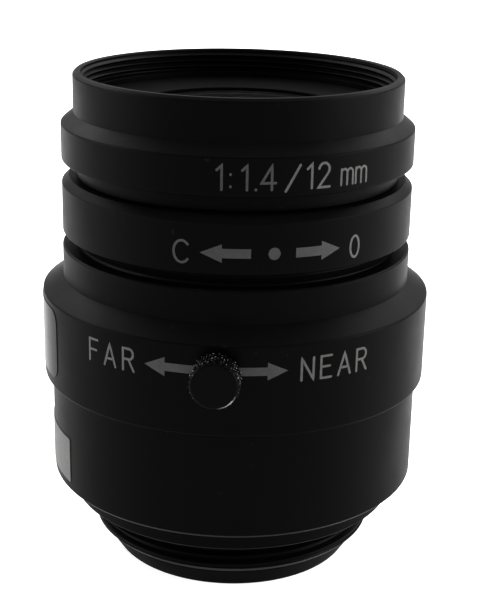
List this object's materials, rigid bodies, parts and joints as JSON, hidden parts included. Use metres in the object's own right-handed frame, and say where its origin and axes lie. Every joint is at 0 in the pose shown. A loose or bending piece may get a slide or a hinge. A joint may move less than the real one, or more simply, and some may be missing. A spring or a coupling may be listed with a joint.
{
  "type": "machine vision lens",
  "caption": "Fixed 12 mm C-mount machine vision lens with a focus ring, an iris ring, knurled lock screws and a filter thread at the front.",
  "frame": {"origin": "middle of the C-mount seat, on the optical axis, where the thread begins", "axes": "+Z along the optical axis to the front of the lens; -Y is the side with the focus lock screw and the marks; +X is to the right seen from there"},
  "size_m": [0.0342, 0.0375, 0.0435],
  "materials": {
    "black_anodised": "black anodised, satin",
    "black_steel": "black oxide",
    "steel": "ground",
    "blade_steel": "black coated spring steel, matt",
    "brass": "blackened",
    "nylon": "natural nylon",
    "coated_glass": "polished, anti-reflection coated"
  },
  "bodies": {
    "mount": {"mount_barrel": "black_anodised", "rear_sleeve": "black_anodised", "guide_pin": "steel"},
    "focus": {"focus_ring": "black_anodised", "focus_stop_screw": "black_steel"},
    "focus_pad": {"focus_lock_pad": "nylon"},
    "focus_screw": {"focus_lock_screw": "black_steel"},
    "barrel": {"lens_barrel": "black_anodised", "front_ring": "black_anodised", "front_retaining_ring": "black_anodised", "front_element": "coated_glass", "front_spacer": "black_anodised", "second_element": "coated_glass", "iris_base_ring": "brass", "rear_cell": "black_anodised", "cell_retaining_ring": "black_anodised", "third_element": "coated_glass", "rear_spacer": "black_anodised", "doublet_front": "coated_glass", "doublet_rear": "coated_glass", "rear_element": "coated_glass", "rear_retaining_ring": "black_anodised"},
    "iris": {"iris_ring": "black_anodised", "iris_drive_pin": "black_steel", "iris_cam_ring": "black_anodised"},
    "iris_pad": {"iris_lock_pad": "nylon"},
    "iris_screw": {"iris_lock_screw": "black_steel"},
    "blade_1": {"iris_blade_1": "blade_steel"},
    "blade_2": {"iris_blade_2": "blade_steel"},
    "blade_3": {"iris_blade_3": "blade_steel"},
    "blade_4": {"iris_blade_4": "blade_steel"},
    "blade_5": {"iris_blade_5": "blade_steel"},
    "blade_6": {"iris_blade_6": "blade_steel"}
  },
  "joints": [
    {"name": "barrel_slide", "type": "slide", "parent": "mount", "child": "barrel", "axis": [0, 0, 1], "range_m": [-0.0005, 0.0005]},
    {"name": "focus_turn", "type": "hinge", "parent": "mount", "child": "focus", "pos_m": [0, 0, 0.015], "axis": [0, 0, 1], "range_deg": [-58, 58]},
    {"name": "iris_turn", "type": "hinge", "parent": "barrel", "child": "iris", "pos_m": [0, 0, 0.02669], "axis": [0, 0, 1], "range_deg": [-48, 0]},
    {"name": "focus_lock_travel", "type": "slide", "parent": "focus", "child": "focus_pad", "axis": [-0.0767, -0.9971, 0], "range_m": [-0.0001, 0.0003]},
    {"name": "focus_lock_turn", "type": "hinge", "parent": "focus_pad", "child": "focus_screw", "pos_m": [-0.00142, -0.01844, 0.0167], "axis": [-0.0767, -0.9971, 0], "range_deg": [-96, 284]},
    {"name": "iris_lock_travel", "type": "slide", "parent": "iris", "child": "iris_pad", "axis": [0, 1, 0], "range_m": [-0.0001, 0.0003]},
    {"name": "iris_lock_turn", "type": "hinge", "parent": "iris_pad", "child": "iris_screw", "pos_m": [0, 0.0165, 0.02669], "axis": [0, 1, 0], "range_deg": [-96, 284]},
    {"name": "blade_1_turn", "type": "hinge", "parent": "barrel", "child": "blade_1", "pos_m": [0.0089, 0, 0.025], "axis": [0, 0, 1], "range_deg": [-31.21, 0]},
    {"name": "blade_2_turn", "type": "hinge", "parent": "barrel", "child": "blade_2", "pos_m": [0.00445, 0.00771, 0.025], "axis": [0, 0, 1], "range_deg": [-31.21, 0]},
    {"name": "blade_3_turn", "type": "hinge", "parent": "barrel", "child": "blade_3", "pos_m": [-0.00445, 0.00771, 0.025], "axis": [0, 0, 1], "range_deg": [-31.21, 0]},
    {"name": "blade_4_turn", "type": "hinge", "parent": "barrel", "child": "blade_4", "pos_m": [-0.0089, 0, 0.025], "axis": [0, 0, 1], "range_deg": [-31.21, 0]},
    {"name": "blade_5_turn", "type": "hinge", "parent": "barrel", "child": "blade_5", "pos_m": [-0.00445, -0.00771, 0.025], "axis": [0, 0, 1], "range_deg": [-31.21, 0]},
    {"name": "blade_6_turn", "type": "hinge", "parent": "barrel", "child": "blade_6", "pos_m": [0.00445, -0.00771, 0.025], "axis": [0, 0, 1], "range_deg": [-31.21, 0]}
  ],
  "couplings": [
    {"joint": "focus_turn", "follows": "barrel_slide", "rad_per_m": 1904},
    {"joint": "focus_lock_turn", "follows": "focus_lock_travel", "rad_per_m": 15708},
    {"joint": "iris_lock_turn", "follows": "iris_lock_travel", "rad_per_m": 15708},
    {"joint": "blade_1_turn", "follows": "iris_turn", "ratio": 0.65},
    {"joint": "blade_2_turn", "follows": "iris_turn", "ratio": 0.65},
    {"joint": "blade_3_turn", "follows": "iris_turn", "ratio": 0.65},
    {"joint": "blade_4_turn", "follows": "iris_turn", "ratio": 0.65},
    {"joint": "blade_5_turn", "follows": "iris_turn", "ratio": 0.65},
    {"joint": "blade_6_turn", "follows": "iris_turn", "ratio": 0.65}
  ]
}
